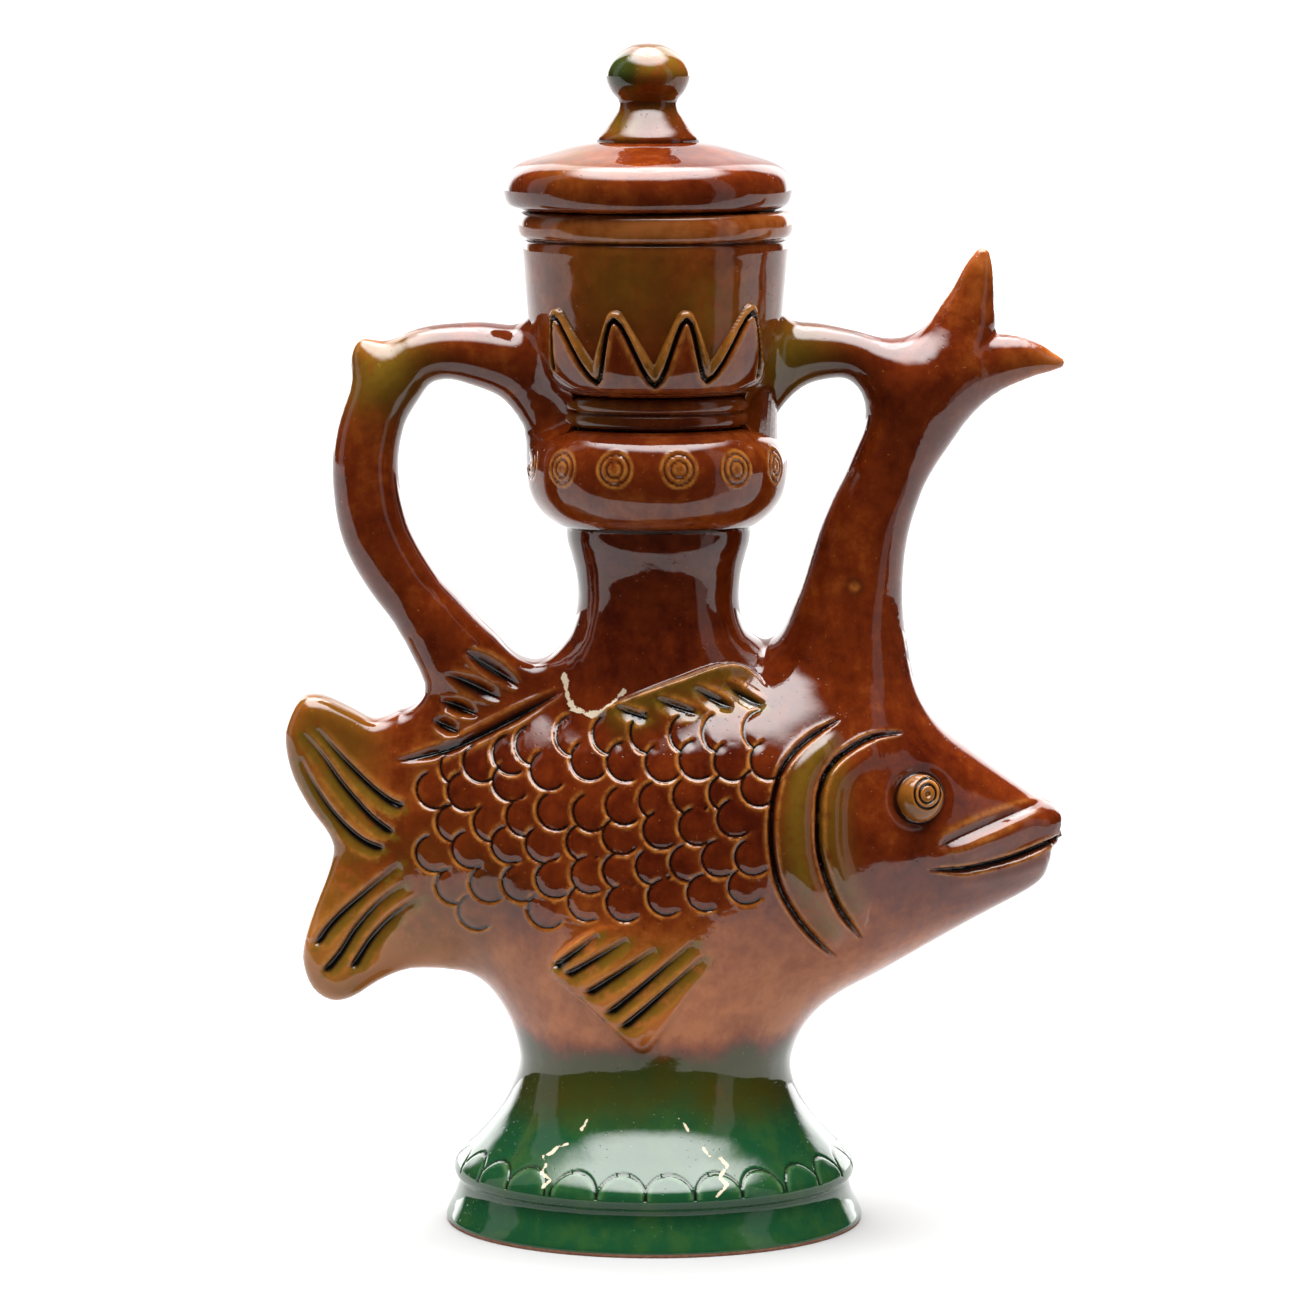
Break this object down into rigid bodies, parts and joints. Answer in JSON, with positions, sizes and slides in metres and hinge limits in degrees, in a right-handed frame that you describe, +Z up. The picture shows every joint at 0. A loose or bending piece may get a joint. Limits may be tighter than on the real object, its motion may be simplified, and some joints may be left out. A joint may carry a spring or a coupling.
{
  "type": "lidded ceramic carafe",
  "caption": "Glazed fish-shaped carafe on a pedestal foot, with a crown-shaped cup, loop handle, forked spout tied by a bridge, and a lift-off knobbed lid.",
  "frame": {"origin": "centre of the flat base that the carafe stands on", "axes": "+Z up through neck and lid, +X towards the fish's head and the spout, +Y to the fish's left side"},
  "size_m": [0.2376, 0.1278, 0.36],
  "materials": {
    "brown_glaze": "glossy amber to brown lead-type glaze, dark where it pools",
    "dark_brown_glaze": "glossy dark brown glaze",
    "amber_glaze": "glossy thin amber glaze",
    "olive_glaze": "glossy brown glaze with olive green washes",
    "green_glaze": "glossy green glaze, olive towards the waist, bare clay on the base"
  },
  "bodies": {
    "vessel": {"foot": "green_glaze", "fish_body": "brown_glaze", "tail_fin": "olive_glaze", "rear_dorsal_fin": "amber_glaze", "front_dorsal_fin_right": "olive_glaze", "front_dorsal_fin_left": "olive_glaze", "pelvic_fin_right": "olive_glaze", "pelvic_fin_left": "olive_glaze", "gill_cover_right": "amber_glaze", "gill_cover_left": "amber_glaze", "eye_right": "amber_glaze", "eye_left": "amber_glaze", "neck": "brown_glaze", "rosette_bulb": "dark_brown_glaze", "collar_ring": "brown_glaze", "crown_cup": "brown_glaze", "crown_band_front": "amber_glaze", "crown_band_back": "amber_glaze", "handle": "amber_glaze", "spout": "brown_glaze", "bridge": "brown_glaze"},
    "lid": {"lid_cover": "dark_brown_glaze", "lid_knob": "olive_glaze"}
  },
  "joints": [
    {"name": "lid_lift", "type": "slide", "parent": "vessel", "child": "lid", "axis": [0, 0, 1], "range_m": [0, 0.09]}
  ]
}
